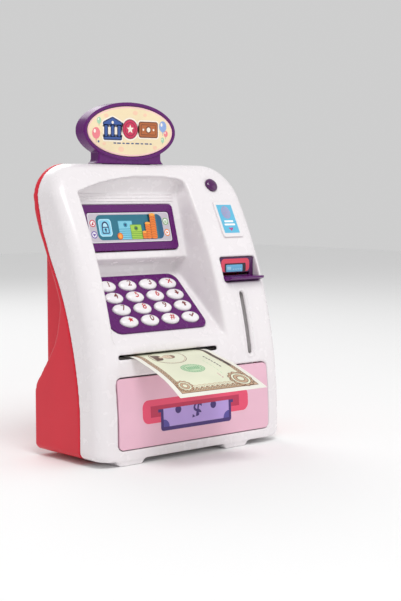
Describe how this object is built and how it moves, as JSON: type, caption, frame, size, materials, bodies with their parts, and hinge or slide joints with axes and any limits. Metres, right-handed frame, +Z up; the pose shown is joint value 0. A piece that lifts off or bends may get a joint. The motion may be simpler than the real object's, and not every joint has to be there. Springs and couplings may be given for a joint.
{
  "type": "toy cash machine savings bank",
  "caption": "Thin wedge-shaped toy cash machine bank with oval sign, recessed screen and keypad, note slot holding a note, coin slot, card shelf and pull-out cash drawer.",
  "frame": {"origin": "on the ground under the middle of the whole object, from the tip of the note to the back", "axes": "+Z up, front face towards -Y, +X to the right seen from the front"},
  "size_m": [0.168, 0.131, 0.2449],
  "materials": {
    "white_shell": "moulded, semi gloss",
    "red_shell": "moulded, semi gloss",
    "purple_plastic": "moulded, semi gloss",
    "pink_plastic": "moulded with printed graphic",
    "dark_plastic": "polished",
    "inner_plastic": "moulded",
    "black_plastic": "moulded",
    "sign_print": "printed sheet",
    "screen_print": "printed sheet",
    "circuit_board": "lacquered board",
    "rubber": "moulded",
    "steel": "plated",
    "nylon": "moulded",
    "battery_can": "printed sleeve",
    "note_paper": "printed both sides"
  },
  "bodies": {
    "case": {"front_shell": "white_shell", "rear_shell": "red_shell", "sign_housing": "purple_plastic", "sign_back": "purple_plastic", "sign_face": "sign_print", "keypad_panel": "purple_plastic", "key_mat": "rubber", "keypad_board": "circuit_board", "screen_bezel": "purple_plastic", "screen_panel": "screen_print", "camera_lens": "dark_plastic", "sensor_pad": "white_shell", "card_bezel": "dark_plastic", "card_ledge": "purple_plastic", "coin_chute": "inner_plastic", "feed_frame": "inner_plastic", "feed_motor": "steel", "latch_solenoid": "black_plastic", "eject_spring": "steel", "battery_box": "black_plastic", "battery_1": "battery_can", "battery_2": "battery_can", "battery_3": "battery_can", "battery_cover": "red_shell", "battery_cover_screw": "steel", "main_board": "circuit_board", "speaker": "black_plastic", "power_switch": "black_plastic", "case_screw_low_left": "steel", "case_screw_low_right": "steel", "case_screw_top_left": "steel", "case_screw_top_right": "steel"},
    "key_1": {"key_1": "white_shell"},
    "key_2": {"key_2": "white_shell"},
    "key_3": {"key_3": "white_shell"},
    "key_clear": {"key_clear": "white_shell"},
    "key_4": {"key_4": "white_shell"},
    "key_5": {"key_5": "white_shell"},
    "key_6": {"key_6": "white_shell"},
    "key_save": {"key_save": "white_shell"},
    "key_7": {"key_7": "white_shell"},
    "key_8": {"key_8": "white_shell"},
    "key_9": {"key_9": "white_shell"},
    "key_draw": {"key_draw": "white_shell"},
    "key_star": {"key_star": "white_shell"},
    "key_0": {"key_0": "white_shell"},
    "key_hash": {"key_hash": "white_shell"},
    "key_enter": {"key_enter": "white_shell"},
    "drawer": {"drawer_front": "pink_plastic", "drawer_tray": "inner_plastic"},
    "bolt": {"latch_bolt": "steel"},
    "drive": {"drive_roller": "rubber", "roller_gear": "nylon"},
    "idler": {"idler_gear": "nylon"},
    "pinion": {"motor_pinion": "nylon"},
    "pinch": {"pinch_roller": "rubber"},
    "note": {"play_note": "note_paper"},
    "knob": {"power_knob": "black_plastic"}
  },
  "joints": [
    {"name": "key_1_press", "type": "slide", "parent": "case", "child": "key_1", "axis": [0, 0.673, -0.7396], "range_m": [0, 0.0012], "stiffness_N_per_m": 400, "springref_m": -0.0005},
    {"name": "key_2_press", "type": "slide", "parent": "case", "child": "key_2", "axis": [0, 0.673, -0.7396], "range_m": [0, 0.0012], "stiffness_N_per_m": 400, "springref_m": -0.0005},
    {"name": "key_3_press", "type": "slide", "parent": "case", "child": "key_3", "axis": [0, 0.673, -0.7396], "range_m": [0, 0.0012], "stiffness_N_per_m": 400, "springref_m": -0.0005},
    {"name": "key_clear_press", "type": "slide", "parent": "case", "child": "key_clear", "axis": [0, 0.673, -0.7396], "range_m": [0, 0.0012], "stiffness_N_per_m": 400, "springref_m": -0.0005},
    {"name": "key_4_press", "type": "slide", "parent": "case", "child": "key_4", "axis": [0, 0.673, -0.7396], "range_m": [0, 0.0012], "stiffness_N_per_m": 400, "springref_m": -0.0005},
    {"name": "key_5_press", "type": "slide", "parent": "case", "child": "key_5", "axis": [0, 0.673, -0.7396], "range_m": [0, 0.0012], "stiffness_N_per_m": 400, "springref_m": -0.0005},
    {"name": "key_6_press", "type": "slide", "parent": "case", "child": "key_6", "axis": [0, 0.673, -0.7396], "range_m": [0, 0.0012], "stiffness_N_per_m": 400, "springref_m": -0.0005},
    {"name": "key_save_press", "type": "slide", "parent": "case", "child": "key_save", "axis": [0, 0.673, -0.7396], "range_m": [0, 0.0012], "stiffness_N_per_m": 400, "springref_m": -0.0005},
    {"name": "key_7_press", "type": "slide", "parent": "case", "child": "key_7", "axis": [0, 0.673, -0.7396], "range_m": [0, 0.0012], "stiffness_N_per_m": 400, "springref_m": -0.0005},
    {"name": "key_8_press", "type": "slide", "parent": "case", "child": "key_8", "axis": [0, 0.673, -0.7396], "range_m": [0, 0.0012], "stiffness_N_per_m": 400, "springref_m": -0.0005},
    {"name": "key_9_press", "type": "slide", "parent": "case", "child": "key_9", "axis": [0, 0.673, -0.7396], "range_m": [0, 0.0012], "stiffness_N_per_m": 400, "springref_m": -0.0005},
    {"name": "key_draw_press", "type": "slide", "parent": "case", "child": "key_draw", "axis": [0, 0.673, -0.7396], "range_m": [0, 0.0012], "stiffness_N_per_m": 400, "springref_m": -0.0005},
    {"name": "key_star_press", "type": "slide", "parent": "case", "child": "key_star", "axis": [0, 0.673, -0.7396], "range_m": [0, 0.0012], "stiffness_N_per_m": 400, "springref_m": -0.0005},
    {"name": "key_0_press", "type": "slide", "parent": "case", "child": "key_0", "axis": [0, 0.673, -0.7396], "range_m": [0, 0.0012], "stiffness_N_per_m": 400, "springref_m": -0.0005},
    {"name": "key_hash_press", "type": "slide", "parent": "case", "child": "key_hash", "axis": [0, 0.673, -0.7396], "range_m": [0, 0.0012], "stiffness_N_per_m": 400, "springref_m": -0.0005},
    {"name": "key_enter_press", "type": "slide", "parent": "case", "child": "key_enter", "axis": [0, 0.673, -0.7396], "range_m": [0, 0.0012], "stiffness_N_per_m": 400, "springref_m": -0.0005},
    {"name": "drawer_slide", "type": "slide", "parent": "case", "child": "drawer", "axis": [0, -1, 0], "range_m": [0, 0.03], "deforming": ["eject_spring"]},
    {"name": "latch_bolt_slide", "type": "slide", "parent": "case", "child": "bolt", "axis": [0, 0, -1], "range_m": [0, 0.0034], "stiffness_N_per_m": 30, "springref_m": -0.002},
    {"name": "drive_spin", "type": "hinge", "parent": "case", "child": "drive", "pos_m": [0, 0.01544, 0.0665], "axis": [1, 0, 0], "continuous": true},
    {"name": "idler_spin", "type": "hinge", "parent": "case", "child": "idler", "pos_m": [0.042, 0.03277, 0.06894], "axis": [1, 0, 0], "continuous": true},
    {"name": "pinion_spin", "type": "hinge", "parent": "case", "child": "pinion", "pos_m": [0.042, 0.04672, 0.06772], "axis": [1, 0, 0], "continuous": true},
    {"name": "pinch_spin", "type": "hinge", "parent": "case", "child": "pinch", "pos_m": [0, 0.01544, 0.0765], "axis": [1, 0, 0], "continuous": true},
    {"name": "note_slide", "type": "slide", "parent": "case", "child": "note", "axis": [0, -1, 0], "range_m": [0, 0.038]},
    {"name": "power_slide", "type": "slide", "parent": "case", "child": "knob", "axis": [1, 0, 0], "range_m": [0, 0.0044]}
  ],
  "couplings": [
    {"joint": "idler_spin", "follows": "drive_spin", "ratio": -0.66667},
    {"joint": "pinion_spin", "follows": "drive_spin", "ratio": 2},
    {"joint": "pinch_spin", "follows": "drive_spin", "ratio": -1.25}
  ]
}
